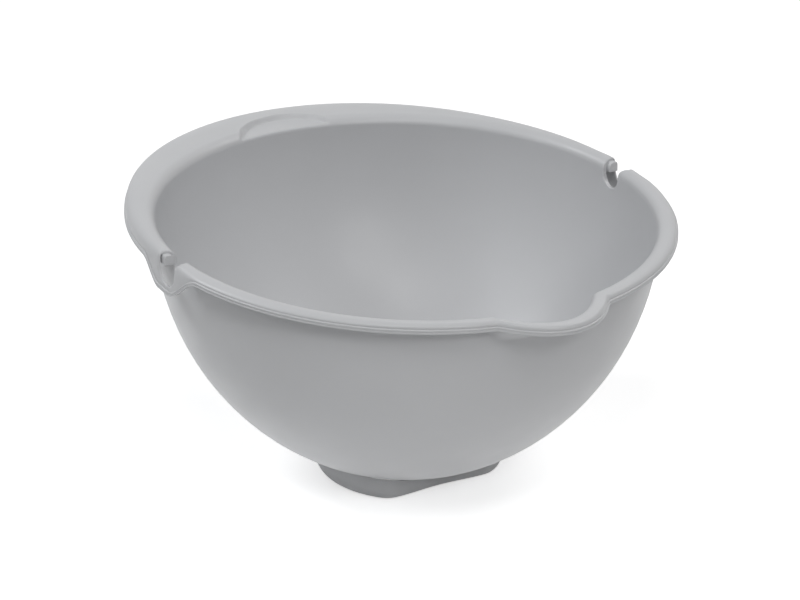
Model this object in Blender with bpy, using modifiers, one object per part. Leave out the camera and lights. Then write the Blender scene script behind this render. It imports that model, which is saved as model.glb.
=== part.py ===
"""A moulded kitchen bowl with a hollow rim, a spout, two pivot slots and a foot.

Metres, +Z up. The table is z = 0. The handle is at +Y, the spout at -Y and the pivot slots at +X and -X.
"""

import math

import bmesh
import bpy

# The bowl's wall: an ellipse turned about the bowl's axis, with a flat floor
BOWL_RADIUS = 0.1225
BOWL_DEPTH = 0.1315
BOWL_LIFT = 0.0025
WALL = 0.0022
FLOOR_RADIUS = 0.036
FLOOR_FLAT_RADIUS = 0.022

# The rim, which lies in a plane that rises towards the handle. Offsets are outwards from the bowl's wall
RIM_TILT_DEGREES = 3.6
CREST_OFFSET_HANDLE = 0.0030
CREST_OFFSET_SLOT = 0.0020
CREST_OFFSET_SPOUT = 0.0064
INNER_ROUND_DROP = 0.0045
ROLL_WALL = 0.0012
HOLLOW_FULLNESS_INNER = 2.5
HOLLOW_FULLNESS_OUTER = 5.0
SKIRT_OFFSET = 0.0068
SKIRT_OFFSET_SPOUT = 0.0080
SKIRT_DROP_SPOUT = 0.0045
SKIRT_DROP_HANDLE = 0.0082
SKIRT_FULLNESS = 2.3
SKIRT_STRAIGHT = 0.0003
LIP_OUT = 0.0006
LIP_HEIGHT = 0.0022

# The handle: the crescent of rim that widens towards +Y, and the thumb recess in its inner edge
HANDLE_OVERHANG = 0.0275
HANDLE_SPREAD = 2.1
HANDLE_FULLNESS = 3.0
RECESS_RADIUS = 0.0287
RECESS_INSET = 0.0168
RECESS_DEPTH = 0.0028
RECESS_STEP = 0.0030

# The spout, pushed out from the rim towards -Y
SPOUT_OUT = 0.0147
SPOUT_HALF_ANGLE = 13.45
SPOUT_CORNER = 0.0010
SPOUT_DEPTH = 0.0150

# The pivot slots, given at the wall and wider at the skirt, and the apron below each of them
SLOT_CENTRE = 0.0016
SLOT_WIDTH = 0.0130
SLOT_DEPTH = 0.0125
SLOT_FLARE = 0.0014
SLOT_LEAD_IN = 0.0048
SLOT_LEAD_IN_TURN = 82
APRON_BELOW_SLOT = 0.0039
APRON_EDGE = 0.0091
APRON_RISE_HANDLE = 0.0157
APRON_RISE_SPOUT = 0.0235

# The stops in the rim's hollow, beside the slots
STOP_SLIT = 0.0006
STOP_HEIGHT = 0.0046
STOP_LENGTH = 0.0060
STOP_PROUD = 0.0026
STOP_ROUND = 0.0004

# The foot: round in plan with a slightly hollow side towards the spout, and swelling outwards up to the bowl
FOOT_RADIUS = 0.0397
FOOT_FORWARD = 0.0020
FOOT_FLAT = 0.0299
FOOT_HOLLOW = 0.0018
FOOT_CORNER = 0.0070
FOOT_SWELL = 0.0074
FOOT_WALL = 0.0035

# Gap between pieces that touch
CLEARANCE = 0.0003

# How far a cutter reaches past what it cuts
CUT_PAST = 0.0060

# How finely the shapes are divided. The rim's strips are counted in zones, in degrees from the right slot
SPOUT_BEND = 1.2
SLOT_ZONE = 18
RECESS_ZONE = 16
SPOUT_STRIPS = 7
SPOUT_BEND_STRIPS = 2
SIDE_STRIPS = 8
SLOT_STRIPS = 14
RECESS_STRIPS = 7
LOWER_WALL_STEPS = 10
UPPER_WALL_STEPS = 4
INNER_ROUND_STEPS = 4
HOLLOW_STEPS = 4
SKIRT_STEPS = 5
FLOOR_STEPS = 3
FOOT_ARC_STEPS = 28
FOOT_CORNER_STEPS = 4
FOOT_FLAT_STEPS = 10
FOOT_SIDE_STEPS = 5
STOP_STEPS = 3
ARC_STEPS = 10
SHARP_DEGREES = 40

# Sizes that follow from those above
RIM_HEIGHT = BOWL_LIFT + BOWL_DEPTH
RIM_SLOPE = math.tan(math.radians(RIM_TILT_DEGREES))
RECESS_CENTRE = BOWL_RADIUS - RECESS_INSET
SLOT_SIDE = SLOT_CENTRE + SLOT_WIDTH / 2
APRON_DROP = SLOT_DEPTH + SLOT_FLARE + APRON_BELOW_SLOT
SPOUT_REACH = BOWL_RADIUS + SPOUT_OUT + SKIRT_OFFSET_SPOUT + LIP_OUT
HANDLE_REACH = BOWL_RADIUS + HANDLE_OVERHANG + LIP_OUT
AXIS_Y = (SPOUT_REACH - HANDLE_REACH) / 2
STOP_DROP = ROLL_WALL + CLEARANCE + STOP_HEIGHT
MERGE = 0.00001
SPOUT_EDGE = SPOUT_HALF_ANGLE - 90
RIM_ZONES = (
    (-90, SPOUT_EDGE - SPOUT_BEND, SPOUT_STRIPS),
    (SPOUT_EDGE - SPOUT_BEND, SPOUT_EDGE + SPOUT_BEND, SPOUT_BEND_STRIPS),
    (SPOUT_EDGE + SPOUT_BEND, -SLOT_ZONE, SIDE_STRIPS),
    (-SLOT_ZONE, SLOT_ZONE, SLOT_STRIPS),
    (SLOT_ZONE, 90 - RECESS_ZONE, SIDE_STRIPS),
    (90 - RECESS_ZONE, 90, RECESS_STRIPS),
)


def smooth(value):
    """An S-curve from 0 to 1."""
    value = min(max(value, 0.0), 1.0)
    return value * value * (3 - 2 * value)


def mix(a, b, share):
    return a + (b - a) * share


def past_slot(angle):
    """0 on the spout's side of the slot and 1 on the handle's side, changing across the slot's width."""
    return smooth((BOWL_RADIUS * angle - SLOT_CENTRE) / SLOT_WIDTH + 0.5)


def base_radius(angle, lift):
    """Radius of the wall's top in plan, with the spout pushed out by a share of its full reach."""
    from_spout = min(abs(math.degrees(angle) + 90) / SPOUT_HALF_ANGLE, 2.0)
    reach = SPOUT_OUT * math.cos(from_spout * math.pi / 2)
    if reach < SPOUT_CORNER:
        reach = max(reach + SPOUT_CORNER, 0.0) ** 2 / (4 * SPOUT_CORNER)
    return BOWL_RADIUS + lift * reach


def plan_point(angle, lift, offset):
    """A point in plan, offset outwards from the wall's top."""
    radius = base_radius(angle, lift) + offset
    x = radius * math.cos(angle)
    if abs(x) < MERGE:
        x = 0.0
    return x, radius * math.sin(angle)


def rim_point(angle, lift, offset, height):
    """A point given by its offset from the wall and its height above the rim's plane."""
    x, y = plan_point(angle, lift, offset)
    return x, y, RIM_HEIGHT + RIM_SLOPE * y + height


def wall_radius(z, inset):
    """Radius of the bowl's wall at a height, on its outside or a wall's thickness inside it."""
    depth = max(RIM_HEIGHT - z, 0.0) / (BOWL_DEPTH - inset)
    return (BOWL_RADIUS - inset) * math.sqrt(1 - depth * depth)


def wall_height(radius, inset):
    """Height of the bowl's wall at a radius."""
    share = radius / (BOWL_RADIUS - inset)
    return RIM_HEIGHT - (BOWL_DEPTH - inset) * math.sqrt(1 - share * share)


def floor_height(radius, inset):
    """Height of the floor at a radius: flat in the middle, then curving up to meet the wall."""
    if radius >= FLOOR_RADIUS:
        return wall_height(radius, inset)
    edge = wall_height(FLOOR_RADIUS, inset)
    slope = (wall_height(FLOOR_RADIUS + MERGE, inset) - edge) / MERGE
    width = FLOOR_RADIUS - FLOOR_FLAT_RADIUS
    share = max(radius - FLOOR_FLAT_RADIUS, 0.0) / width
    return edge - slope * width / 2 * (1 - share * share)


def floor_points(angle, inset):
    """From the axis across the floor to where the wall begins."""
    points = [(0.0, 0.0, floor_height(0.0, inset))]
    for step in range(FLOOR_STEPS + 1):
        radius = mix(FLOOR_FLAT_RADIUS, FLOOR_RADIUS, step / FLOOR_STEPS)
        x, y = plan_point(angle, 0.0, radius - BOWL_RADIUS)
        points.append((x, y, floor_height(radius, inset)))
    return points


def wall_points(angle, inset):
    """Up the wall from the floor to where the rim begins, opening out at the spout."""
    low = wall_height(FLOOR_RADIUS, inset)
    rim = RIM_HEIGHT + RIM_SLOPE * BOWL_RADIUS * math.sin(angle)
    points = []
    for step in range(1, LOWER_WALL_STEPS + 1):
        z = mix(low, rim - SPOUT_DEPTH, 1 - math.cos(step / LOWER_WALL_STEPS * math.pi / 2))
        x, y = plan_point(angle, 0.0, wall_radius(z, inset) - BOWL_RADIUS)
        points.append((x, y, z))
    for step in range(1, UPPER_WALL_STEPS + 1):
        share = step / UPPER_WALL_STEPS
        height = mix(-SPOUT_DEPTH, -INNER_ROUND_DROP, share)
        offset = wall_radius(rim + height, inset) - BOWL_RADIUS
        points.append(rim_point(angle, smooth(share), offset, height))
    return points


def crest_offset(angle):
    """How far out from the wall the rim is highest: further towards the spout."""
    towards_spout = mix(CREST_OFFSET_SLOT, CREST_OFFSET_SPOUT, math.sin(angle) ** 2)
    return mix(towards_spout, CREST_OFFSET_HANDLE, past_slot(angle))


def skirt_offset(angle):
    """How far out from the wall the skirt stands: a little further at the spout, and widest at the handle."""
    if angle < 0:
        return mix(SKIRT_OFFSET, SKIRT_OFFSET_SPOUT, math.sin(angle) ** 2)
    return mix(SKIRT_OFFSET, HANDLE_OVERHANG, math.sin(angle) ** HANDLE_SPREAD)


def roll_drop(angle):
    """How far the skirt reaches below the rim's plane away from the aprons."""
    return mix(SKIRT_DROP_SPOUT, SKIRT_DROP_HANDLE, past_slot(angle))


def skirt_drop(angle):
    """How far the skirt reaches below the rim's plane, with the apron below the slot."""
    along = BOWL_RADIUS * angle
    share = (along - APRON_EDGE) / APRON_RISE_HANDLE if along > 0 else -along / APRON_RISE_SPOUT
    return mix(APRON_DROP, roll_drop(angle), smooth(share))


def rounded_drop(angle):
    """How far below the rim's plane its rounding ends and the skirt's upright part begins."""
    return roll_drop(angle) - LIP_HEIGHT - SKIRT_STRAIGHT


def quarter(upright, level, fullness, steps):
    """A quarter of a superellipse as (offset, height) pairs, from its upright end to its level end."""
    power = 2 / fullness
    pairs = [upright]
    for step in range(1, steps):
        turn = step / steps * math.pi / 2
        offset = mix(level[0], upright[0], math.cos(turn) ** power)
        pairs.append((offset, mix(upright[1], level[1], math.sin(turn) ** power)))
    return pairs + [level]


def recessed(point, depth):
    """A point of the rim, lowered to the thumb recess's floor where it is inside the recess."""
    x, y, z = point
    inside = smooth((RECESS_RADIUS - math.hypot(x, y - RECESS_CENTRE)) / RECESS_STEP)
    floor = RIM_HEIGHT + RIM_SLOPE * y - depth
    return x, y, mix(z, min(z, floor), inside)


def rim_points(angle):
    """Over the rim: up from the inner wall, out over the crest, round the lip and back inside the hollow."""
    crest = crest_offset(angle)
    skirt = skirt_offset(angle)
    drop = skirt_drop(angle)
    rounded = rounded_drop(angle)
    fullness = mix(SKIRT_FULLNESS, HANDLE_FULLNESS, max(math.sin(angle), 0.0))
    top = (crest, 0.0)
    over = quarter((-WALL, -INNER_ROUND_DROP), top, 2.0, INNER_ROUND_STEPS)[1:]
    over += quarter((skirt, -rounded), top, fullness, SKIRT_STEPS)[-2::-1]
    lip = [(skirt, LIP_HEIGHT - drop), (skirt + LIP_OUT, LIP_HEIGHT / 2 - drop), (skirt + LIP_OUT, -drop)]
    roof = (crest, -ROLL_WALL)
    hollow = skirt - ROLL_WALL
    under = quarter((0.0, -INNER_ROUND_DROP), roof, HOLLOW_FULLNESS_INNER, HOLLOW_STEPS)[1:]
    under += quarter((hollow, -rounded), roof, HOLLOW_FULLNESS_OUTER, SKIRT_STEPS)[-2::-1]
    under.append((hollow, -drop))
    points = [recessed(rim_point(angle, 1.0, *pair), RECESS_DEPTH) for pair in over]
    points += [rim_point(angle, 1.0, *pair) for pair in lip]
    points += [recessed(rim_point(angle, 1.0, *pair), RECESS_DEPTH + ROLL_WALL) for pair in reversed(under)]
    return points


def bowl_section(angle):
    """One section of the bowl, from the inner floor up and over the rim to the outer floor."""
    inner = floor_points(angle, WALL) + wall_points(angle, WALL)
    outer = floor_points(angle, 0.0) + wall_points(angle, 0.0)
    return inner + rim_points(angle) + outer[::-1]


def zone_angles():
    """The sections' angles on the half of the bowl at +X, from the spout to the handle."""
    angles = []
    for start, end, strips in RIM_ZONES:
        angles += [math.radians(mix(start, end, step / strips)) for step in range(strips)]
    return angles + [math.pi / 2]


def new_object(name, data, collection):
    made = bpy.data.objects.new(name, data)
    collection.objects.link(made)
    return made


def loft(name, sections, closed=False, capped=False):
    """A mesh through sections of equally many points. It may be joined in a ring or have end faces."""
    shape = bmesh.new()
    known = {}

    def vertex(point):
        key = tuple(round(value / MERGE) for value in point)
        if key not in known:
            known[key] = shape.verts.new(point)
        return known[key]

    rows = [[vertex(point) for point in section] for section in sections]
    onward = rows[1:] + rows[:1] if closed else rows[1:]
    for here, there in zip(rows, onward):
        for i in range(len(here) - 1):
            corners = (here[i], there[i], there[i + 1], here[i + 1])
            shape.faces.new(list(dict.fromkeys(corners)))
    if capped:
        shape.faces.new(list(dict.fromkeys(rows[0])))
        shape.faces.new(list(dict.fromkeys(rows[-1])))
        bmesh.ops.recalc_face_normals(shape, faces=shape.faces)
    mesh = bpy.data.meshes.new(name)
    shape.to_mesh(mesh)
    shape.free()
    return mesh


def smooth_shade(obj):
    obj.data.shade_smooth()
    obj.data.set_sharp_from_angle(angle=math.radians(SHARP_DEGREES))


def mirrored(obj):
    mirror = obj.modifiers.new("Mirror", "MIRROR")
    mirror.merge_threshold = MERGE


def plastic(name, colour, roughness):
    material = bpy.data.materials.new(name)
    material.use_nodes = True
    shader = material.node_tree.nodes["Principled BSDF"]
    shader.inputs["Base Color"].default_value = (*colour, 1.0)
    shader.inputs["Roughness"].default_value = roughness
    shader.inputs["Metallic"].default_value = 0.0
    return material


def slot_outline(offset):
    """The slot seen from the side at an offset from the wall: a U with a lead-in on its spout side."""
    flare = SLOT_FLARE * offset / SKIRT_OFFSET
    half = SLOT_WIDTH / 2 + flare
    bottom = RIM_HEIGHT - SLOT_DEPTH - flare
    above = RIM_HEIGHT + SLOT_DEPTH
    points = [(SLOT_CENTRE + half, above)]
    for step in range(ARC_STEPS + 1):
        turn = math.pi * step / ARC_STEPS
        points.append((SLOT_CENTRE + half * math.cos(turn), bottom + half * (1 - math.sin(turn))))
    side = SLOT_CENTRE - half
    corner = RIM_HEIGHT - SLOT_LEAD_IN
    for step in range(ARC_STEPS // 2 + 1):
        turn = math.radians(SLOT_LEAD_IN_TURN) * step / (ARC_STEPS // 2)
        points.append((side - SLOT_LEAD_IN * (1 - math.cos(turn)), corner + SLOT_LEAD_IN * math.sin(turn)))
    points.append((points[-1][0], above))
    return points


def slot_cutter(collection):
    """A bar with the slot's outline, through the wall and the skirt, and its mirror image."""
    sections = []
    for offset in (-WALL - CUT_PAST, SKIRT_OFFSET + CUT_PAST):
        outline = slot_outline(offset)
        sections.append([(BOWL_RADIUS + offset, y, z) for y, z in outline + outline[:1]])
    cutter = new_object("slot_cutter", loft("slot_cutter", sections, capped=True), collection)
    mirrored(cutter)
    cutter.hide_render = True
    cutter.display_type = "WIRE"
    return cutter


def make_bowl(collection, cutters, axis):
    """The bowl: half of it lofted from the spout to the handle, mirrored, with the pivot slots cut."""
    mesh = loft("bowl_body", [bowl_section(angle) for angle in zone_angles()])
    bowl = new_object("bowl_body", mesh, collection)
    bowl.parent = axis
    mirrored(bowl)
    cutter = slot_cutter(cutters)
    cutter.parent = axis
    cut = bowl.modifiers.new("Pivot slots", "BOOLEAN")
    cut.operation = "DIFFERENCE"
    cut.solver = "EXACT"
    cut.object = cutter
    smooth_shade(bowl)
    mesh.materials.append(plastic("bowl_grey", (0.50, 0.51, 0.52), 0.45))


def arc(centre, radius, start, end, steps):
    """Points along an arc in plan, with the directions square to it."""
    points = []
    for step in range(steps + 1):
        turn = mix(start, end, step / steps)
        out_x = math.cos(turn)
        out_y = math.sin(turn)
        points.append((centre[0] + radius * out_x, centre[1] + radius * out_y, out_x, out_y))
    return points


def foot_outline():
    """The foot's lower edge: a long arc round the back, and a hollow front between two rounded corners."""
    middle = -FOOT_FORWARD
    corner = FOOT_CORNER - FOOT_FLAT
    side = math.sqrt((FOOT_RADIUS - FOOT_CORNER) ** 2 - (corner - middle) ** 2)
    turn = math.atan2(corner - middle, side)
    front = 1.5 * math.pi
    outline = arc((0.0, middle), FOOT_RADIUS, turn, math.pi - turn, FOOT_ARC_STEPS)
    outline += arc((-side, corner), FOOT_CORNER, math.pi - turn, front, FOOT_CORNER_STEPS)[1:]
    for step in range(1, FOOT_FLAT_STEPS):
        share = step / FOOT_FLAT_STEPS
        hollow = FOOT_HOLLOW * (1 - math.cos(2 * math.pi * share)) / 2
        outline.append((mix(-side, side, share), hollow - FOOT_FLAT, 0.0, -1.0))
    outline += arc((side, corner), FOOT_CORNER, front, 2 * math.pi + turn, FOOT_CORNER_STEPS)[:-1]
    return outline


def foot_section(x, y, out_x, out_y):
    """Up the foot's swelling side to the bowl's underside, and down again a wall's thickness further in."""
    upward = list(range(FOOT_SIDE_STEPS + 1))
    points = []
    for inset, steps in ((0.0, upward), (FOOT_WALL, upward[::-1])):
        edge = FOOT_SWELL - inset
        top = floor_height(math.hypot(x + edge * out_x, y + edge * out_y), 0.0) - CLEARANCE
        for step in steps:
            turn = step / FOOT_SIDE_STEPS * math.pi / 2
            out = FOOT_SWELL * math.sin(turn) - inset
            points.append((x + out * out_x, y + out * out_y, top * (1 - math.cos(turn))))
    return points + points[:1]


def make_foot(collection, axis):
    """The foot: a ring that stands on the table and meets the bowl's underside."""
    mesh = loft("foot_ring", [foot_section(*place) for place in foot_outline()], closed=True)
    foot = new_object("foot_ring", mesh, collection)
    foot.parent = axis
    smooth_shade(foot)
    mesh.materials.append(plastic("foot_grey", (0.30, 0.31, 0.32), 0.6))


def stop_section(angle, side):
    """A section of a stop, a clearance inside the rim's hollow and with a slit beside the skirt."""
    crest = (crest_offset(angle), -ROLL_WALL - CLEARANCE)
    outer = skirt_offset(angle) - ROLL_WALL - STOP_SLIT
    inner_top = -INNER_ROUND_DROP - CLEARANCE
    outer_top = -rounded_drop(angle) - CLEARANCE
    pairs = [(CLEARANCE, -STOP_DROP)]
    pairs += quarter((CLEARANCE, inner_top), crest, HOLLOW_FULLNESS_INNER, HOLLOW_STEPS)
    pairs += quarter((outer, outer_top), crest, HOLLOW_FULLNESS_OUTER, SKIRT_STEPS)[-2::-1]
    pairs += [(outer, -STOP_DROP), pairs[0]]
    points = [rim_point(angle, 1.0, *pair) for pair in pairs]
    return [(side * x, y, z) for x, y, z in points]


def make_stop(name, side, collection, axis):
    """A block that fills the rim's hollow, whose end stands out into the slot beside it."""
    start = SLOT_SIDE - STOP_PROUD
    length = STOP_LENGTH + STOP_PROUD
    places = [start + length * step / STOP_STEPS for step in range(STOP_STEPS + 1)]
    sections = [stop_section(place / BOWL_RADIUS, side) for place in places]
    mesh = loft(name, sections, capped=True)
    stop = new_object(name, mesh, collection)
    stop.parent = axis
    bevel = stop.modifiers.new("Rounded edges", "BEVEL")
    bevel.width = STOP_ROUND
    bevel.segments = 2
    smooth_shade(stop)
    mesh.materials.append(plastic(name + "_grey", (0.52, 0.53, 0.54), 0.45))


def main():
    for obj in list(bpy.data.objects):
        bpy.data.objects.remove(obj)
    parts = bpy.data.collections.new("colander_bowl")
    cutters = bpy.data.collections.new("cutters")
    bpy.context.scene.collection.children.link(parts)
    bpy.context.scene.collection.children.link(cutters)
    axis = new_object("bowl_axis", None, parts)
    axis.location = (0.0, AXIS_Y, 0.0)
    make_bowl(parts, cutters, axis)
    make_foot(parts, axis)
    make_stop("pivot_stop_right", 1, parts, axis)
    make_stop("pivot_stop_left", -1, parts, axis)


main()
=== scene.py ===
"""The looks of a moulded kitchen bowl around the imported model: fine surfaces, materials, light and camera.

Metres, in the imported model's frame. The handle is at +Y, the spout at -Y and the pivot slots at +X and -X.
Angles that can be set are in degrees. Round the bowl they are measured from +X towards the handle.
"""

import math

import bmesh
import bpy
from mathutils import Euler, Matrix, Vector


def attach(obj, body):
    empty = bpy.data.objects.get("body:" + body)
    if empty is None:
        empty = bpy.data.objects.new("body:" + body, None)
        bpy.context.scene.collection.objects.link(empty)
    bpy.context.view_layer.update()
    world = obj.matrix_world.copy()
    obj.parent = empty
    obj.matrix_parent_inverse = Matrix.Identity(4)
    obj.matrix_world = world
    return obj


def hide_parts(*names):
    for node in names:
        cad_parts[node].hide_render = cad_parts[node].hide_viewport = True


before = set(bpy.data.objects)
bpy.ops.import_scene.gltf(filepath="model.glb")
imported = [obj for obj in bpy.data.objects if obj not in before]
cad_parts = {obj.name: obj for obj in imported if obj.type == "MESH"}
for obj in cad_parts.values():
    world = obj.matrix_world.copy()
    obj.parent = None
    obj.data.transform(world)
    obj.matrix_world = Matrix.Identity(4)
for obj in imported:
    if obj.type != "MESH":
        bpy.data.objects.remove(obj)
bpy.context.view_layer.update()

# Where the spout and the handle are round the bowl
SPOUT_AT = -90
HANDLE_AT = 90

# The bowl's wall
BOWL_RADIUS = 0.1225
BOWL_DEPTH = 0.1315
BOWL_LIFT = 0.0025
WALL = 0.0022
FLOOR_RADIUS = 0.036
FLOOR_FLAT_RADIUS = 0.022

# The rim. Offsets are outwards from the bowl's wall, and a fullness is the power of a superellipse
RIM_TILT_DEGREES = 3.6
CREST_OFFSET_HANDLE = 0.0030
CREST_OFFSET_SLOT = 0.0020
CREST_OFFSET_SPOUT = 0.0064
INNER_ROUND_DROP = 0.0045
ROLL_WALL = 0.0012
HOLLOW_FULLNESS_INNER = 2.5
HOLLOW_FULLNESS_OUTER = 5.0
SKIRT_OFFSET = 0.0068
SKIRT_OFFSET_SPOUT = 0.0080
SKIRT_DROP_SPOUT = 0.0045
SKIRT_DROP_HANDLE = 0.0082
SKIRT_FULLNESS = 1.8
SKIRT_STRAIGHT = 0.0003
ROUND_ABOVE_APRON = 0.0050
FULLER_ABOVE_APRON = 0.67

# The skirt's lip. Its outline runs down from the skirt, and each point has its share of the reach outwards,
# the length it is set back by and its share of the height. The middle of a rounded edge is given as a share
# of the edge's radius
LIP_OUT = 0.0006
LIP_HEIGHT = 0.0022
LIP_ROUND = 0.0002
LIP_GROOVE = 0.0002
ROUND_MIDDLE = 0.3
LIP_OUTLINE = (
    (0.0, 0.0, 1.0),
    (0.6, 0.0, 0.95),
    (0.95, 0.0, 0.87),
    (1.0, 0.0, 0.75),
    (1.0, 0.0, 0.60),
    (1.0, LIP_GROOVE, 0.52),
    (1.0, LIP_GROOVE, 0.46),
    (1.0, 0.0, 0.38),
    (1.0, 0.0, 0.12),
    (1.0, LIP_ROUND * ROUND_MIDDLE, 0.03),
    (1.0, LIP_ROUND, 0.0),
)

# The handle, with a wider shoulder beside each slot, and its thumb recess
HANDLE_OVERHANG = 0.0275
HANDLE_SPREAD = 2.1
HANDLE_FULLNESS = 3.0
HANDLE_SHOULDER = 0.0009
HANDLE_SHOULDER_END = 42
RECESS_RADIUS = 0.0290
RECESS_INSET = 0.0160
RECESS_DEPTH = 0.0026
RECESS_STEP = 0.0016
RECESS_ROUND = 0.0012
RECESS_UNDER_SPREAD = 0.0035

# The spout
SPOUT_OUT = 0.0147
SPOUT_HALF_ANGLE = 13.45
SPOUT_CORNER = 0.0010
SPOUT_DEPTH = 0.0150

# The pivot slots, given at the wall and wider at the skirt, and the apron below each of them. Places along
# the rim are measured from +X towards the handle
SLOT_CENTRE = 0.0016
SLOT_WIDTH = 0.0130
SLOT_DEPTH = 0.0125
SLOT_FLARE = 0.0014
SLOT_LEAD_IN = 0.0030
SLOT_LEAD_IN_TURN = 82
SLOT_EDGE_ROUND = 0.0006
SLOT_FADE = 0.0024
APRON_BELOW_SLOT = 0.0039
APRON_EDGE = 0.0091
APRON_RISE_HANDLE = 0.0157
APRON_RISE_SPOUT = 0.0235

# The stops
STOP_SLIT = 0.0006
STOP_HEIGHT = 0.0046
STOP_LENGTH = 0.0060
STOP_PROUD = 0.0026
STOP_ROUND = 0.0002
STOP_GAP = 0.00006

# The foot
FOOT_RADIUS = 0.0397
FOOT_FORWARD = 0.0020
FOOT_FLAT = 0.0299
FOOT_HOLLOW = 0.0018
FOOT_CORNER = 0.0070
FOOT_SWELL = 0.0074
FOOT_WALL = 0.0035

# Between pieces that lie against each other
CLEARANCE = 0.0003

# How finely the shapes are divided
FLOOR_STEPS = 5
SPOUT_BEND = 1.0
SLOT_ZONE = 18
RECESS_ZONE = 16
SPOUT_STRIPS = 26
SPOUT_BEND_STRIPS = 14
SIDE_STRIPS = 32
BESIDE_SLOT_STRIPS = 20
ACROSS_SLOT_STRIPS = 6
RECESS_STRIPS = 84
LOW_STEPS = 22
U_STEPS = 7
RISE_STEPS = 12
FALL_STEPS = 34
RECESS_SHARES = (0.17, 0.47)
RECESS_STEPS = 24
SKIRT_TOP_STEPS = 3
UNDER_STEPS = 8
FOOT_ARC_STEPS = 110
FOOT_CORNER_STEPS = 12
FOOT_FLAT_STEPS = 40
FOOT_SIDE_STEPS = 14
STOP_STEPS = 8
STOP_ARC_STEPS = 10
ROUND_SEGMENTS = 3
ROUND_PROFILE = 0.5

# How far an edge bends before it is rounded, and before it is shaded as sharp
ROUNDED_FROM = 30
SHARP_FROM = 50

# How often a place that depends on itself is worked out again
SLOT_LOW_ROUNDS = 10
SLOT_EDGE_ROUNDS = 30

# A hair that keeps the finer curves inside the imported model's box, the distance within which points are
# joined, and the distance within which they lie on the plane between the two halves
HAIR = 0.00001
MERGE = 0.000001
NEAR_MIDDLE = 0.00001

# Sizes that follow from those above, with angles in radians
RIM_HEIGHT = BOWL_LIFT + BOWL_DEPTH - HAIR
RIM_SLOPE = math.tan(math.radians(RIM_TILT_DEGREES))
RECESS_CENTRE = BOWL_RADIUS - RECESS_INSET
APRON_DROP = SLOT_DEPTH + SLOT_FLARE + APRON_BELOW_SLOT
STOP_DROP = ROLL_WALL + CLEARANCE + STOP_HEIGHT
SPOUT_REACH = BOWL_RADIUS + SPOUT_OUT + SKIRT_OFFSET_SPOUT + LIP_OUT
HANDLE_REACH = BOWL_RADIUS + HANDLE_OVERHANG + LIP_OUT
AXIS_Y = (SPOUT_REACH - HANDLE_REACH) / 2
SLOT_ANGLE = math.asin(SLOT_CENTRE / BOWL_RADIUS)
SLOT_SIDE = SLOT_CENTRE + SLOT_WIDTH / 2
SLOT_EDGES = (math.asin((SLOT_CENTRE - SLOT_WIDTH / 2) / BOWL_RADIUS), math.asin(SLOT_SIDE / BOWL_RADIUS))

# The plastics: a darker and a lighter colour, the least and most roughness, and the grain's size and depth
GREY_COLOURS = ((0.552, 0.557, 0.569), (0.568, 0.573, 0.585))
FOOT_COLOURS = ((0.560, 0.565, 0.576), (0.580, 0.585, 0.596))
BOWL_ROUGHNESS = (0.36, 0.45)
STOP_ROUGHNESS = (0.38, 0.47)
FOOT_ROUGHNESS = (0.55, 0.70)
GREY_GRAIN = (0.0005, 0.00004)
FOOT_GRAIN = (0.0007, 0.00006)
PLASTIC_IOR = 1.49

# Their textures: how many waves in a metre and how many finer layers, the middle range of a noise's values,
# how much of the colour's range the drift and the specks take, and the strength of the grain
DRIFT_NOISE = (14.0, 3.0)
SPECK_NOISE = (1400.0, 2.0)
SHEEN_NOISE = (60.0, 4.0)
GRAIN_LAYERS = 2.0
NOISE_RANGE = (0.3, 0.7)
DRIFT_SHARE = 0.6
SPECK_SHARE = 0.4
GRAIN_STRENGTH = 0.35

# The floor: half its width, how far it lies below the foot, the white table's radius, how far the table's
# edge fades, and the tone and the glow on the table and beyond it
FLOOR_HALF = 6.0
FLOOR_BELOW = 0.0001
TABLE_RADIUS = 0.25
TABLE_FADE = 0.30
FLOOR_TONES = (0.95, 0.15)
FLOOR_GLOWS = (0.57, 1.0)

# The light from all round, and the lamps' distance from the point on the bowl's axis that they face
WORLD_LIGHT = 0.10
LAMP_DISTANCE = 1.7
LAMP_TARGET = 0.08

# Each lamp's name, turn from the spout towards +X, rise, size in metres, watts and colour
WHITE = (1.0, 1.0, 1.0)
LAMPS = (
    ("above_camera", -35, 52, 0.6, 5.7, WHITE),
    ("front", -7, 32, 0.4, 5.6, WHITE),
    ("left", -95, 32, 0.5, 2.1, (0.96, 0.98, 1.0)),
    ("back_left", -132, 46, 0.6, 9.0, (0.97, 0.985, 1.0)),
    ("right", 78, 50, 0.8, 7.0, WHITE),
)

# The camera: its direction and distance from the middle of the rim, and where that point is in the picture
PICTURE_WIDTH = 800
PICTURE_HEIGHT = 600
CAMERA_TURN = 31.41
CAMERA_ELEVATION = 20.10
CAMERA_DISTANCE = 1.5431
FOCAL_PIXELS = 3214.75
RIM_MIDDLE_PIXEL = (406.5, 208.9)
SENSOR_WIDTH = 36.0
CAMERA_NEAR = 0.05


def smooth(value):
    """An S-curve from 0 to 1."""
    value = min(max(value, 0.0), 1.0)
    return value * value * (3 - 2 * value)


def mix(a, b, share):
    """The value that is a share of the way from a to b."""
    return a + (b - a) * share


def past_slot(angle):
    """0 on the spout's side of the slot and 1 on the handle's side."""
    return smooth((BOWL_RADIUS * angle - SLOT_CENTRE) / SLOT_WIDTH + 0.5)


def base_radius(angle, lift):
    """Radius of the wall's top in plan, with the spout pushed out by a share of its full reach."""
    from_spout = min(abs(math.degrees(angle) - SPOUT_AT) / SPOUT_HALF_ANGLE, 2.0)
    reach = SPOUT_OUT * math.cos(from_spout * math.pi / 2)
    if reach < SPOUT_CORNER:
        reach = max(reach + SPOUT_CORNER, 0.0) ** 2 / (4 * SPOUT_CORNER)
    return BOWL_RADIUS + lift * reach


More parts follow.
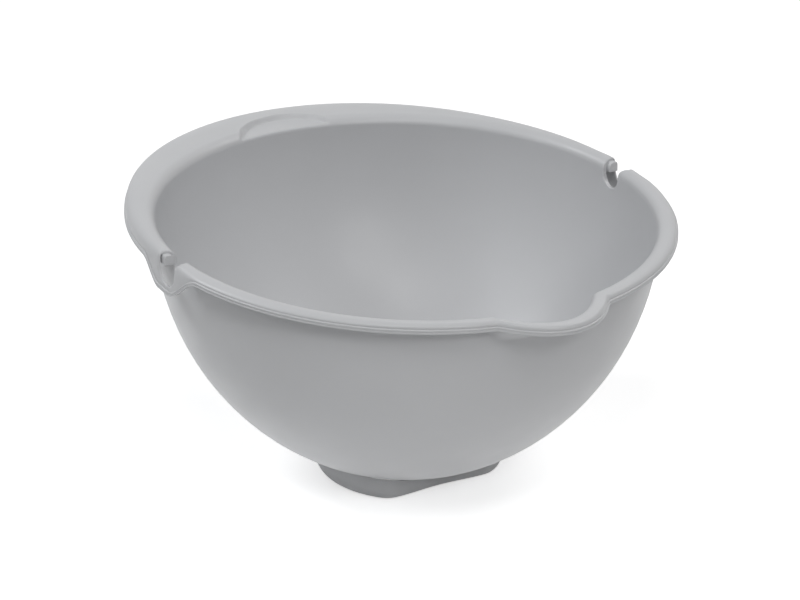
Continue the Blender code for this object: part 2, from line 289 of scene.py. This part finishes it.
def plan_point(angle, lift, offset):
    """A point in plan, offset outwards from the wall's top."""
    radius = base_radius(angle, lift) + offset
    x = radius * math.cos(angle)
    if abs(x) < NEAR_MIDDLE:
        x = 0.0
    return x, radius * math.sin(angle)


def wall_radius(z, inset):
    """Radius of the bowl's wall at a height, on its outside or a wall's thickness inside it."""
    depth = max(RIM_HEIGHT - z, 0.0) / (BOWL_DEPTH - inset)
    return (BOWL_RADIUS - inset) * math.sqrt(1 - depth * depth)


def wall_height(radius, inset):
    """Height of the bowl's wall at a radius."""
    share = radius / (BOWL_RADIUS - inset)
    return RIM_HEIGHT - (BOWL_DEPTH - inset) * math.sqrt(1 - share * share)


def floor_height(radius, inset):
    """Height of the floor at a radius: flat in the middle, then curving up to meet the wall."""
    if radius >= FLOOR_RADIUS:
        return wall_height(radius, inset)
    edge = wall_height(FLOOR_RADIUS, inset)
    slope = (wall_height(FLOOR_RADIUS + MERGE, inset) - edge) / MERGE
    width = FLOOR_RADIUS - FLOOR_FLAT_RADIUS
    share = max(radius - FLOOR_FLAT_RADIUS, 0.0) / width
    return edge - slope * width / 2 * (1 - share * share)


def crest_offset(angle):
    """How far out from the wall the rim is highest."""
    towards_spout = mix(CREST_OFFSET_SLOT, CREST_OFFSET_SPOUT, math.sin(angle) ** 2)
    return mix(towards_spout, CREST_OFFSET_HANDLE, past_slot(angle))


def skirt_offset(angle):
    """How far out from the wall the skirt stands."""
    if angle < 0:
        return mix(SKIRT_OFFSET, SKIRT_OFFSET_SPOUT, math.sin(angle) ** 2)
    shoulder = min(math.degrees(angle) / HANDLE_SHOULDER_END, 1.0)
    wider = HANDLE_SHOULDER * math.sin(shoulder * math.pi) ** 2
    return mix(SKIRT_OFFSET, HANDLE_OVERHANG, math.sin(angle) ** HANDLE_SPREAD) + wider


def roll_drop(angle):
    """How far the skirt reaches below the rim's plane away from the aprons."""
    return mix(SKIRT_DROP_SPOUT, SKIRT_DROP_HANDLE, past_slot(angle))


def skirt_drop(angle):
    """How far the skirt reaches below the rim's plane, with the apron below the slot."""
    along = BOWL_RADIUS * angle
    share = (along - APRON_EDGE) / APRON_RISE_HANDLE if along > 0 else -along / APRON_RISE_SPOUT
    return mix(APRON_DROP, roll_drop(angle), smooth(share))


def above_apron(angle):
    """How far the apron reaches down at an angle, as a share of its reach below the slot."""
    return (skirt_drop(angle) - roll_drop(angle)) / (APRON_DROP - roll_drop(angle))


def rounded_drop(angle):
    """How far below the rim's plane its rounding ends. It is further above the apron's spout side."""
    further = ROUND_ABOVE_APRON * above_apron(angle) * (1 - past_slot(angle)) ** 2
    return roll_drop(angle) - LIP_HEIGHT - SKIRT_STRAIGHT + further


def superellipse(share, fullness):
    """Height of a quarter superellipse, from 1 at its level end to 0 at its upright end."""
    return max(1 - share**fullness, 0.0) ** (1 / fullness)


def rim_row(row, angle):
    """Where a row of the rim or of the wall's upper part is at an angle.

    The three values are the share of the spout's push, the offset and the height from the rim's plane.
    """
    kind, value = row[0], row[-1]
    crest = crest_offset(angle)
    skirt = skirt_offset(angle)
    drop = skirt_drop(angle)
    rounded = rounded_drop(angle)
    hollow = skirt - ROLL_WALL
    if kind == "high":
        inset = row[1]
        share = (value + SPOUT_DEPTH) / (SPOUT_DEPTH - INNER_ROUND_DROP)
        rim = RIM_HEIGHT + RIM_SLOPE * BOWL_RADIUS * math.sin(angle)
        return smooth(share), wall_radius(rim + value, inset) - BOWL_RADIUS, value
    if kind == "rise":
        turn = value * math.pi / 2
        return 1.0, crest - (crest + WALL) * math.cos(turn), INNER_ROUND_DROP * (math.sin(turn) - 1)
    if kind == "fall":
        share = max(math.sin(angle), FULLER_ABOVE_APRON * above_apron(angle))
        fullness = mix(SKIRT_FULLNESS, HANDLE_FULLNESS, share)
        return 1.0, mix(crest, skirt, value), rounded * (superellipse(value, fullness) - 1)
    if kind == "skirt":
        return 1.0, skirt, mix(-rounded, LIP_HEIGHT - drop, value)
    if kind == "lip":
        return 1.0, skirt + value[0], value[1] - drop
    if kind == "edge":
        return 1.0, hollow + value[0], value[1] - drop
    if kind == "inside":
        return 1.0, hollow, mix(-rounded, LIP_ROUND - drop, value)
    roof_drop = rounded - ROLL_WALL
    if kind == "roof":
        height = -ROLL_WALL - roof_drop * (1 - superellipse(value, HOLLOW_FULLNESS_OUTER))
        return 1.0, mix(crest, hollow, value), height
    arch_drop = INNER_ROUND_DROP - ROLL_WALL
    height = -ROLL_WALL - arch_drop * (1 - superellipse(value, HOLLOW_FULLNESS_INNER))
    return 1.0, crest * (1 - value), height


def eased(steps):
    """Shares from 0 to 1 that grow closer together towards 1."""
    return [math.sin(step / steps * math.pi / 2) for step in range(steps + 1)]


def slot_flare(offset):
    """How much wider and deeper the slot is at an offset from the wall, on each side."""
    return SLOT_FLARE * offset / SKIRT_OFFSET


def u_depths(offset):
    """Depths along the slot's curved end at an offset from the wall, from its sides to its lowest point."""
    half = SLOT_WIDTH / 2 + slot_flare(offset)
    low = SLOT_DEPTH + slot_flare(offset)
    turns = [step / U_STEPS * math.pi / 2 for step in reversed(range(U_STEPS + 1))]
    return [low - half * (1 - math.cos(turn)) for turn in turns]


def wall_heights(inset):
    """Heights of the rows on the wall's upper part, and the height of the slot's lowest point there."""
    low = -SLOT_DEPTH
    for _ in range(SLOT_LOW_ROUNDS):
        offset = rim_row(("high", inset, low), SLOT_ANGLE)[1]
        low = -SLOT_DEPTH - slot_flare(offset)
    heights = [mix(-SPOUT_DEPTH, low, 0.5), low]
    heights += [-depth for depth in u_depths(offset)[-2::-1]]
    return heights + [mix(heights[-1], -INNER_ROUND_DROP, 0.5), -INNER_ROUND_DROP], low


def skirt_shares(offset, end):
    """Shares of the skirt's upright part, from below its top down to the slot's lowest point."""
    top = rounded_drop(SLOT_ANGLE)
    depths = u_depths(offset)
    depths = [mix(top, depths[0], step / SKIRT_TOP_STEPS) for step in range(1, SKIRT_TOP_STEPS)] + depths
    return [(depth - top) / (end - top) for depth in depths]


def bowl_rows():
    """The rows round the bowl, from the inner floor over the rim to the outer floor.

    A row's kind says where it is: floor, low or high on the wall, rise or fall on the rim's top, skirt, lip
    or edge on its outside, and inside, roof or arch in its hollow.
    The marks are the four rows where the slot is lowest: on the wall's inside, on the skirt, on the skirt's
    inside and on the wall's outside.
    """
    radii = [0.0, FLOOR_FLAT_RADIUS / 2]
    radii += [mix(FLOOR_FLAT_RADIUS, FLOOR_RADIUS, step / FLOOR_STEPS) for step in range(FLOOR_STEPS + 1)]
    shares = [1 - math.cos(step / LOW_STEPS * math.pi / 2) for step in range(1, LOW_STEPS + 1)]

    def wall(inset):
        rows = [("floor", inset, radius) for radius in radii]
        rows += [("low", inset, share) for share in shares]
        heights, low = wall_heights(inset)
        return rows + [("high", inset, height) for height in heights], ("high", inset, low)

    rows, lowest = wall(WALL)
    marks = [rows.index(lowest)]
    rows += [("rise", step / RISE_STEPS) for step in range(1, RISE_STEPS + 1)]
    falls = eased(FALL_STEPS)[1:]
    falls += [mix(*RECESS_SHARES, step / RECESS_STEPS) for step in range(RECESS_STEPS + 1)]
    rows += [("fall", share) for share in sorted(falls)]
    rows += [("skirt", share) for share in skirt_shares(SKIRT_OFFSET, APRON_DROP - LIP_HEIGHT)]
    marks.append(len(rows) - 1)
    rows += [("lip", (out * LIP_OUT - back, height * LIP_HEIGHT)) for out, back, height in LIP_OUTLINE]
    middle = LIP_ROUND * ROUND_MIDDLE
    rows += [("edge", place) for place in ((LIP_ROUND, 0.0), (middle, middle), (0.0, LIP_ROUND))]
    inside = [("inside", share) for share in skirt_shares(SKIRT_OFFSET - ROLL_WALL, APRON_DROP - LIP_ROUND)]
    marks.append(len(rows))
    rows += inside[::-1]
    rows += [("roof", share) for share in eased(UNDER_STEPS)[::-1]]
    rows += [("arch", share) for share in eased(UNDER_STEPS)[1:-1]]
    outer, lowest = wall(0.0)
    outer.reverse()
    marks.append(len(rows) + outer.index(lowest))
    return rows + outer, marks


def slot_edge(height, offset, side):
    """How far the slot's edge is from its middle at a place. Below the slot it opens again."""
    flare = slot_flare(offset)
    half = SLOT_WIDTH / 2 + flare
    rise = height + SLOT_DEPTH + flare
    if rise < 0:
        return half * min(-rise / SLOT_FADE, 1.0)
    width = math.sqrt(half**2 - max(half - rise, 0.0) ** 2)
    climb = height + SLOT_LEAD_IN
    if side < 0 and climb > 0:
        turn = min(math.asin(min(climb / SLOT_LEAD_IN, 1.0)), math.radians(SLOT_LEAD_IN_TURN))
        width += SLOT_LEAD_IN * (1 - math.cos(turn))
    return width


def edge_angles(row, closed):
    """The angles of the slot's two edges at a row. They meet where the slot is closed."""
    angles = []
    for side in (-1, 1):
        angle = SLOT_ANGLE
        for _ in range(SLOT_EDGE_ROUNDS):
            _, offset, height = rim_row(row, angle)
            width = 0.0 if closed else slot_edge(height, offset, side)
            angle = math.asin((SLOT_CENTRE + side * width) / (BOWL_RADIUS + offset))
        angles.append(angle)
    return angles


def recessed(point, depth, radius):
    """A point of the rim, lowered to the thumb recess's floor where it is inside the recess."""
    x, y, z = point
    inside = smooth((radius - math.hypot(x, y - RECESS_CENTRE)) / RECESS_STEP)
    floor = RIM_HEIGHT + RIM_SLOPE * y - depth
    share = min(max(0.5 + (z - floor) / (2 * RECESS_ROUND), 0.0), 1.0)
    lower = mix(z, floor, share) - RECESS_ROUND * share * (1 - share)
    return x, y, mix(z, lower, inside)


def row_point(row, angle):
    """The point of a row at an angle."""
    if row[0] == "floor":
        x, y = plan_point(angle, 0.0, row[2] - BOWL_RADIUS)
        return x, y, floor_height(row[2], row[1])
    if row[0] == "low":
        rim = RIM_HEIGHT + RIM_SLOPE * BOWL_RADIUS * math.sin(angle)
        z = mix(wall_height(FLOOR_RADIUS, row[1]), rim - SPOUT_DEPTH, row[2])
        x, y = plan_point(angle, 0.0, wall_radius(z, row[1]) - BOWL_RADIUS)
        return x, y, z
    lift, offset, height = rim_row(row, angle)
    x, y = plan_point(angle, lift, offset)
    point = (x, y, RIM_HEIGHT + RIM_SLOPE * y + height)
    if row[0] in ("rise", "fall"):
        return recessed(point, RECESS_DEPTH, RECESS_RADIUS)
    if row[0] in ("roof", "arch"):
        return recessed(point, RECESS_DEPTH + ROLL_WALL, RECESS_RADIUS + RECESS_UNDER_SPREAD)
    return point


def column_angles():
    """The columns' angles on the half of the bowl at +X, and which two columns are beside the slot."""
    low, high = (math.degrees(angle) for angle in SLOT_EDGES)
    spout = SPOUT_AT + SPOUT_HALF_ANGLE
    recess = HANDLE_AT - RECESS_ZONE
    zones = (
        (SPOUT_AT, spout - SPOUT_BEND, SPOUT_STRIPS),
        (spout - SPOUT_BEND, spout + SPOUT_BEND, SPOUT_BEND_STRIPS),
        (spout + SPOUT_BEND, -SLOT_ZONE, SIDE_STRIPS),
        (-SLOT_ZONE, low, BESIDE_SLOT_STRIPS),
        (low, high, ACROSS_SLOT_STRIPS),
        (high, SLOT_ZONE, BESIDE_SLOT_STRIPS),
        (SLOT_ZONE, recess, SIDE_STRIPS),
        (recess, HANDLE_AT, RECESS_STRIPS),
    )
    angles = []
    for start, end, strips in zones:
        angles += [math.radians(mix(start, end, step / strips)) for step in range(strips)]
    left = SPOUT_STRIPS + SPOUT_BEND_STRIPS + SIDE_STRIPS + BESIDE_SLOT_STRIPS
    return angles + [math.radians(HANDLE_AT)], left, left + ACROSS_SLOT_STRIPS


def moved(angle, edges):
    """A column's angle at a row, moved so that the slot's edges run along the columns beside it."""
    zone = math.radians(SLOT_ZONE)
    low, high = SLOT_EDGES
    if abs(angle) >= zone:
        return angle
    if angle < low:
        return angle + (edges[0] - low) * (1 - smooth((low - angle) / (low + zone)))
    if angle > high:
        return angle + (edges[1] - high) * (1 - smooth((angle - high) / (zone - high)))
    return mix(edges[0], edges[1], (angle - low) / (high - low))


def zip_faces(shape, one, two):
    """Fill the strip between two lines of vertices that start and end together."""

    def shares(line):
        lengths = [0.0]
        for a, b in zip(line, line[1:]):
            lengths.append(lengths[-1] + (b.co - a.co).length)
        return [length / lengths[-1] for length in lengths]

    first, second = shares(one), shares(two)
    i = j = 0
    while i < len(one) - 1 or j < len(two) - 1:
        if j == len(two) - 1 or (i < len(one) - 1 and first[i + 1] <= second[j + 1]):
            shape.faces.new((one[i], one[i + 1], two[j]))
            i += 1
        else:
            shape.faces.new((one[i], two[j + 1], two[j]))
            j += 1


def bowl_half(shape, known, mirror, sharp):
    """Add one half of the bowl, with its slot open and its slot's walls filled. mirror is 1 or -1."""
    rows, marks = bowl_rows()
    angles, left, right = column_angles()

    def vertex(point):
        point = (mirror * point[0], point[1], point[2])
        key = tuple(round(value / MERGE) for value in point)
        if key not in known:
            known[key] = shape.verts.new(point)
        return known[key]

    grid = []
    for k, row in enumerate(rows):
        upper = row[0] not in ("floor", "low")
        edges = edge_angles(row, k in marks) if upper else None
        in_slot = marks[0] < k < marks[1] or marks[2] < k < marks[3]
        line = []
        for j, angle in enumerate(angles):
            if in_slot and left < j < right:
                line.append(None)
            else:
                line.append(vertex(row_point(row, moved(angle, edges) if upper else angle)))
        grid.append(line)
    for here, there in zip(grid, grid[1:]):
        for j in range(len(angles) - 1):
            corners = list(dict.fromkeys((here[j], here[j + 1], there[j + 1], there[j])))
            if None not in corners and len(corners) > 2:
                shape.faces.new(corners)
    for j in (left, right):
        outer = [grid[k][j] for k in range(marks[0], marks[1] + 1)]
        inner = [grid[k][j] for k in range(marks[3], marks[2] - 1, -1)]
        zip_faces(shape, outer, inner)
        sharp += list(zip(outer, outer[1:]))
        if j == left:
            sharp += list(zip(inner, inner[1:]))


def new_object(name, data):
    """An object in the scene."""
    made = bpy.data.objects.new(name, data)
    bpy.context.scene.collection.objects.link(made)
    return made


def finish_mesh(name, shape):
    """A mesh, with its faces turned outwards and smooth, moved to the bowl's axis."""
    bmesh.ops.recalc_face_normals(shape, faces=shape.faces)
    mesh = bpy.data.meshes.new(name)
    shape.to_mesh(mesh)
    shape.free()
    mesh.transform(Matrix.Translation((0.0, AXIS_Y, 0.0)))
    mesh.shade_smooth()
    mesh.set_sharp_from_angle(angle=math.radians(SHARP_FROM))
    return mesh


def round_edges(shape, edges, size):
    """Round those of the edges that are sharp."""
    least = math.radians(ROUNDED_FROM)
    bmesh.ops.bevel(
        shape,
        geom=[edge for edge in edges if edge.is_manifold and edge.calc_face_angle() > least],
        offset=size,
        offset_type="OFFSET",
        segments=ROUND_SEGMENTS,
        profile=ROUND_PROFILE,
        affect="EDGES",
    )


def join_sections(shape, here, there):
    """Fill the strip between two closed sections with as many vertices."""
    for i in range(len(here)):
        j = (i + 1) % len(here)
        shape.faces.new((here[i], there[i], there[j], here[j]))


def make_bowl(material):
    """The bowl, with rounded edges along its slots."""
    shape = bmesh.new()
    known = {}
    sharp = []
    bowl_half(shape, known, 1, sharp)
    bowl_half(shape, known, -1, sharp)
    bmesh.ops.recalc_face_normals(shape, faces=shape.faces)
    edges = [shape.edges.get(pair) for pair in sharp]
    round_edges(shape, [edge for edge in edges if edge], SLOT_EDGE_ROUND)
    bowl = new_object("bowl_moulding", finish_mesh("bowl_moulding", shape))
    bowl.data.materials.append(material)
    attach(bowl, "root")
    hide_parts("bowl_body")


def arc(centre, radius, start, end, steps):
    """Points along an arc in plan, with the directions square to it."""
    points = []
    for step in range(steps + 1):
        turn = mix(start, end, step / steps)
        out_x = math.cos(turn)
        out_y = math.sin(turn)
        points.append((centre[0] + radius * out_x, centre[1] + radius * out_y, out_x, out_y))
    return points


def foot_outline():
    """The foot's lower edge: a long arc round the back, and a hollow front between two rounded corners."""
    middle = -FOOT_FORWARD
    corner = FOOT_CORNER - FOOT_FLAT
    side = math.sqrt((FOOT_RADIUS - FOOT_CORNER) ** 2 - (corner - middle) ** 2)
    turn = math.atan2(corner - middle, side)
    front = 1.5 * math.pi
    outline = arc((0.0, middle), FOOT_RADIUS, turn, math.pi - turn, FOOT_ARC_STEPS)
    outline += arc((-side, corner), FOOT_CORNER, math.pi - turn, front, FOOT_CORNER_STEPS)[1:]
    for step in range(1, FOOT_FLAT_STEPS):
        share = step / FOOT_FLAT_STEPS
        hollow = FOOT_HOLLOW * (1 - math.cos(2 * math.pi * share)) / 2
        outline.append((mix(-side, side, share), hollow - FOOT_FLAT, 0.0, -1.0))
    outline += arc((side, corner), FOOT_CORNER, front, 2 * math.pi + turn, FOOT_CORNER_STEPS)[:-1]
    return outline


def foot_section(x, y, out_x, out_y):
    """Up the foot's swelling side to the bowl's underside, and down again a wall's thickness further in."""
    upward = list(range(FOOT_SIDE_STEPS + 1))
    points = []
    for inset, steps in ((0.0, upward), (FOOT_WALL, upward[::-1])):
        edge = FOOT_SWELL - inset
        top = floor_height(math.hypot(x + edge * out_x, y + edge * out_y), 0.0) - CLEARANCE
        for step in steps:
            turn = step / FOOT_SIDE_STEPS * math.pi / 2
            out = FOOT_SWELL * math.sin(turn) - inset
            points.append((x + out * out_x, y + out * out_y, top * (1 - math.cos(turn))))
    return points


def make_foot(material):
    """The foot, as a closed ring."""
    shape = bmesh.new()
    rows = [[shape.verts.new(point) for point in foot_section(*place)] for place in foot_outline()]
    for here, there in zip(rows, rows[1:] + rows[:1]):
        join_sections(shape, here, there)
    foot = new_object("foot_moulding", finish_mesh("foot_moulding", shape))
    foot.data.materials.append(material)
    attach(foot, "root")
    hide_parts("foot_ring")


def stop_section(angle, side):
    """A section of a stop, close inside the rim's hollow and with a slit beside the skirt."""
    crest = crest_offset(angle)
    outer = skirt_offset(angle) - ROLL_WALL - STOP_SLIT
    roof = -ROLL_WALL - STOP_GAP
    inner_drop = INNER_ROUND_DROP - ROLL_WALL
    outer_drop = rounded_drop(angle) - ROLL_WALL
    shares = eased(STOP_ARC_STEPS)
    pairs = [(STOP_GAP, -STOP_DROP)]
    for share in shares[::-1]:
        drop = inner_drop * (1 - superellipse(share, HOLLOW_FULLNESS_INNER))
        pairs.append((mix(crest, STOP_GAP, share), roof - drop))
    for share in shares[1:]:
        drop = outer_drop * (1 - superellipse(share, HOLLOW_FULLNESS_OUTER))
        pairs.append((mix(crest, outer, share), roof - drop))
    pairs.append((outer, -STOP_DROP))
    points = []
    for offset, height in pairs:
        x, y = plan_point(angle, 1.0, offset)
        points.append((side * x, y, RIM_HEIGHT + RIM_SLOPE * y + height))
    return points


def make_stop(name, side, material):
    """A block that fills the rim's hollow beside a slot, with rounded edges."""
    shape = bmesh.new()
    rows = []
    for step in range(STOP_STEPS + 1):
        place = mix(SLOT_SIDE - STOP_PROUD, SLOT_SIDE + STOP_LENGTH, step / STOP_STEPS)
        rows.append([shape.verts.new(point) for point in stop_section(place / BOWL_RADIUS, side)])
    for here, there in zip(rows, rows[1:]):
        join_sections(shape, here, there)
    shape.faces.new(rows[0])
    shape.faces.new(rows[-1])
    bmesh.ops.recalc_face_normals(shape, faces=shape.faces)
    round_edges(shape, shape.edges, STOP_ROUND)
    stop = new_object("stop_block_" + name, finish_mesh("stop_block_" + name, shape))
    stop.data.materials.append(material)
    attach(stop, "root")
    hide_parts("pivot_stop_" + name)


def moulded_plastic(name, colours, roughness, grain):
    """Plastic with a faint drift of colour, a fine grain in the surface and a sheen that varies a little."""
    material = bpy.data.materials.new(name)
    material.use_nodes = True
    nodes = material.node_tree.nodes
    links = material.node_tree.links
    shader = nodes["Principled BSDF"]
    shader.inputs["Metallic"].default_value = 0.0
    shader.inputs["IOR"].default_value = PLASTIC_IOR
    place = nodes.new("ShaderNodeTexCoord")

    def noise(scale, layers):
        node = nodes.new("ShaderNodeTexNoise")
        node.inputs["Scale"].default_value = scale
        node.inputs["Detail"].default_value = layers
        links.new(place.outputs["Object"], node.inputs["Vector"])
        return node.outputs["Fac"]

    def spread(source, low, high):
        node = nodes.new("ShaderNodeMapRange")
        node.inputs["From Min"].default_value = NOISE_RANGE[0]
        node.inputs["From Max"].default_value = NOISE_RANGE[1]
        node.inputs["To Min"].default_value = low
        node.inputs["To Max"].default_value = high
        links.new(source, node.inputs["Value"])
        return node.outputs["Result"]

    blend = nodes.new("ShaderNodeMath")
    blend.operation = "ADD"
    links.new(spread(noise(*DRIFT_NOISE), 0.0, DRIFT_SHARE), blend.inputs[0])
    links.new(spread(noise(*SPECK_NOISE), 0.0, SPECK_SHARE), blend.inputs[1])
    ramp = nodes.new("ShaderNodeValToRGB")
    for element, colour in zip(ramp.color_ramp.elements, colours):
        element.color = (*colour, 1.0)
    links.new(blend.outputs[0], ramp.inputs["Fac"])
    links.new(ramp.outputs["Color"], shader.inputs["Base Color"])
    links.new(spread(noise(*SHEEN_NOISE), *roughness), shader.inputs["Roughness"])
    grain_size, grain_depth = grain
    bump = nodes.new("ShaderNodeBump")
    bump.inputs["Strength"].default_value = GRAIN_STRENGTH
    bump.inputs["Distance"].default_value = grain_depth
    links.new(noise(1 / grain_size, GRAIN_LAYERS), bump.inputs["Height"])
    links.new(bump.outputs["Normal"], shader.inputs["Normal"])
    return material


def seen(nodes, links):
    """1 for what the camera sees, also in gloss or through glass, and 0 for light that falls on things."""
    path = nodes.new("ShaderNodeLightPath")
    found = path.outputs["Is Camera Ray"]
    for name in ("Is Glossy Ray", "Is Transmission Ray"):
        node = nodes.new("ShaderNodeMath")
        node.operation = "MAXIMUM"
        links.new(found, node.inputs[0])
        links.new(path.outputs[name], node.inputs[1])
        found = node.outputs[0]
    return found


def make_floor():
    """A white table that keeps the object's shadow. Further out it gives little light but looks white."""
    material = bpy.data.materials.new("pale_floor")
    material.use_nodes = True
    nodes = material.node_tree.nodes
    links = material.node_tree.links
    nodes.clear()
    place = nodes.new("ShaderNodeTexCoord")
    distance = nodes.new("ShaderNodeVectorMath")
    distance.operation = "LENGTH"
    links.new(place.outputs["Object"], distance.inputs[0])

    def ramp(near, far):
        node = nodes.new("ShaderNodeMapRange")
        node.interpolation_type = "SMOOTHSTEP"
        node.inputs["From Min"].default_value = TABLE_RADIUS
        node.inputs["From Max"].default_value = TABLE_RADIUS + TABLE_FADE
        node.inputs["To Min"].default_value = near
        node.inputs["To Max"].default_value = far
        links.new(distance.outputs["Value"], node.inputs["Value"])
        return node.outputs["Result"]

    diffuse = nodes.new("ShaderNodeBsdfDiffuse")
    links.new(ramp(*FLOOR_TONES), diffuse.inputs["Color"])
    glow = nodes.new("ShaderNodeEmission")
    glow.inputs["Color"].default_value = (*WHITE, 1.0)
    both = nodes.new("ShaderNodeAddShader")
    output = nodes.new("ShaderNodeOutputMaterial")
    strength = nodes.new("ShaderNodeMath")
    strength.operation = "MULTIPLY"
    links.new(seen(nodes, links), strength.inputs[0])
    links.new(ramp(*FLOOR_GLOWS), strength.inputs[1])
    links.new(strength.outputs[0], glow.inputs["Strength"])
    links.new(diffuse.outputs[0], both.inputs[0])
    links.new(glow.outputs[0], both.inputs[1])
    links.new(both.outputs[0], output.inputs["Surface"])
    shape = bmesh.new()
    bmesh.ops.create_grid(shape, x_segments=1, y_segments=1, size=FLOOR_HALF)
    mesh = bpy.data.meshes.new("floor")
    shape.to_mesh(mesh)
    shape.free()
    mesh.materials.append(material)
    floor = new_object("floor", mesh)
    floor.location = (0.0, 0.0, -FLOOR_BELOW)


def make_world():
    """Faint even light from all round, and a white surround."""
    world = bpy.data.worlds.new("studio")
    bpy.context.scene.world = world
    world.use_nodes = True
    nodes = world.node_tree.nodes
    links = world.node_tree.links
    background = nodes["Background"]
    background.inputs["Color"].default_value = (*WHITE, 1.0)
    level = nodes.new("ShaderNodeMapRange")
    level.inputs["To Min"].default_value = WORLD_LIGHT
    level.inputs["To Max"].default_value = 1.0
    links.new(seen(nodes, links), level.inputs["Value"])
    links.new(level.outputs["Result"], background.inputs["Strength"])


def make_lamp(name, turn, rise, size, watts, colour):
    """A round soft lamp that faces the bowl."""
    turn = math.radians(turn)
    rise = math.radians(rise)
    place = Vector((math.sin(turn) * math.cos(rise), -math.cos(turn) * math.cos(rise), math.sin(rise)))
    data = bpy.data.lights.new(name, "AREA")
    data.shape = "DISK"
    data.size = size
    data.energy = watts
    data.color = colour
    lamp = new_object(name, data)
    lamp.location = LAMP_DISTANCE * place + Vector((0.0, 0.0, LAMP_TARGET))
    lamp.rotation_euler = (-place).to_track_quat("-Z", "Y").to_euler()


def make_camera():
    """The camera, at the photographed angle, turned so that the middle of the rim falls on its pixel."""
    data = bpy.data.cameras.new("camera")
    data.sensor_width = SENSOR_WIDTH
    data.sensor_fit = "HORIZONTAL"
    data.lens = SENSOR_WIDTH * FOCAL_PIXELS / PICTURE_WIDTH
    data.clip_start = CAMERA_NEAR
    camera = new_object("camera", data)
    middle = Vector((0.0, AXIS_Y, RIM_HEIGHT))
    turn = math.radians(CAMERA_TURN)
    rise = math.radians(CAMERA_ELEVATION)
    back = Vector((-math.sin(turn) * math.cos(rise), -math.cos(turn) * math.cos(rise), math.sin(rise)))
    across = (RIM_MIDDLE_PIXEL[0] - PICTURE_WIDTH / 2) / FOCAL_PIXELS
    up = (PICTURE_HEIGHT / 2 - RIM_MIDDLE_PIXEL[1]) / FOCAL_PIXELS
    aim = (-back).to_track_quat("-Z", "Y")
    camera.location = middle + CAMERA_DISTANCE * back
    camera.rotation_mode = "QUATERNION"
    camera.rotation_quaternion = aim @ Euler((-math.atan(up), math.atan(across), 0.0)).to_quaternion()
    bpy.context.scene.camera = camera


def main():
    """Make the pieces, the floor, the light and the camera."""
    bowl = moulded_plastic("bowl_satin", GREY_COLOURS, BOWL_ROUGHNESS, GREY_GRAIN)
    stop = moulded_plastic("stop_satin", GREY_COLOURS, STOP_ROUGHNESS, GREY_GRAIN)
    foot = moulded_plastic("foot_matt", FOOT_COLOURS, FOOT_ROUGHNESS, FOOT_GRAIN)
    make_bowl(bowl)
    make_foot(foot)
    make_stop("right", 1, stop)
    make_stop("left", -1, stop)
    make_floor()
    make_world()
    for lamp in LAMPS:
        make_lamp(*lamp)
    make_camera()
    bpy.context.scene.view_settings.view_transform = "Standard"


main()
